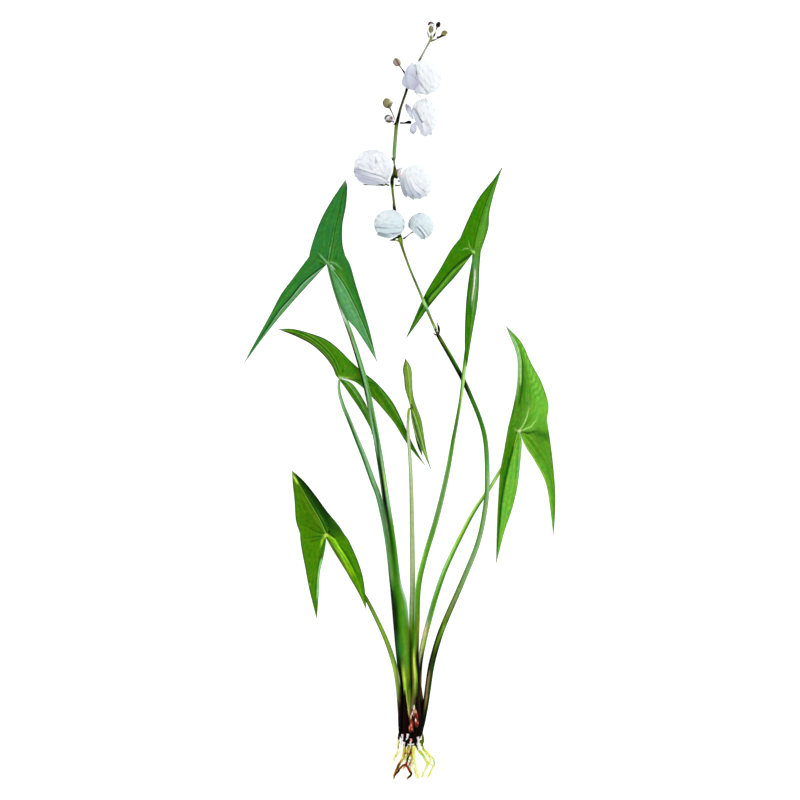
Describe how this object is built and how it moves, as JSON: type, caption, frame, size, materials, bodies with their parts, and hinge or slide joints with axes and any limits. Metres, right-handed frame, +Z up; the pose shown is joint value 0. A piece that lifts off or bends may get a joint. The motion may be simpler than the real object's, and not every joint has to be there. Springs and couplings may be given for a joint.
{
  "type": "double-flowered sagittaria",
  "caption": "Bare-root arrowhead plant lying on its back: arrow-shaped leaves, a tall stalk of round double flowers and buds, a small corm and thin roots.",
  "frame": {"origin": "on the surface the plant lies on, under the middle of its overall box", "axes": "+Y along the plant from its roots to its flowers, +X across it to its right seen from above, +Z up from the surface"},
  "size_m": [0.2338, 0.5685, 0.0277],
  "materials": {
    "leaf_blade": "living leaf: waxy satin green with pale veins",
    "leaf_stalk": "smooth ribbed green leaf stalk with a pale, browning sheath",
    "flower_stalk": "smooth green stalk, dark at its joints and its foot",
    "petals": "thin matte white petals with a cool shade",
    "buds": "matte olive and purple-brown sepals",
    "bracts": "dry dark green and brown scales",
    "corm": "rough near-black brown skin",
    "young_shoots": "smooth pink-red scales with cream tips",
    "roots": "pale yellow fibrous roots, brown in places"
  },
  "bodies": {
    "root": {"leaf_blade_upper_left": "leaf_blade", "leaf_stalk_upper_left": "leaf_stalk", "leaf_blade_upper_right": "leaf_blade", "leaf_stalk_upper_right": "leaf_stalk", "leaf_blade_middle_left": "leaf_blade", "leaf_stalk_middle_left": "leaf_stalk", "leaf_blade_young": "leaf_blade", "leaf_stalk_young": "leaf_stalk", "leaf_blade_right": "leaf_blade", "leaf_stalk_right": "leaf_stalk", "leaf_blade_lower_left": "leaf_blade", "leaf_stalk_lower_left": "leaf_stalk", "flower_stalk": "flower_stalk", "flower_low_left": "petals", "pedicel_low_left": "flower_stalk", "flower_low_right": "petals", "pedicel_low_right": "flower_stalk", "flower_middle_left": "petals", "pedicel_middle_left": "flower_stalk", "flower_middle_right": "petals", "pedicel_middle_right": "flower_stalk", "flower_upper_right": "petals", "pedicel_upper_right": "flower_stalk", "flower_top_right": "petals", "pedicel_top_right": "flower_stalk", "bud_tip_left": "buds", "bud_stalk_tip_left": "flower_stalk", "bud_tip_middle": "buds", "bud_stalk_tip_middle": "flower_stalk", "bud_tip_right": "buds", "bud_stalk_tip_right": "flower_stalk", "bud_top": "buds", "bud_stalk_top": "flower_stalk", "bud_upper_large": "buds", "bud_stalk_upper_large": "flower_stalk", "bud_upper_small": "buds", "bud_stalk_upper_small": "flower_stalk", "bract_bare_joint": "bracts", "bract_low_whorl": "bracts", "bract_middle_whorl": "bracts", "bract_upper_whorl": "bracts", "bract_tip": "bracts", "corm": "corm", "young_shoot_left": "young_shoots", "young_shoot_right": "young_shoots", "root_1": "roots", "root_2": "roots", "root_3": "roots", "root_4": "roots", "root_5": "roots", "root_6": "roots", "root_7": "roots", "root_8": "roots"}
  },
  "joints": []
}
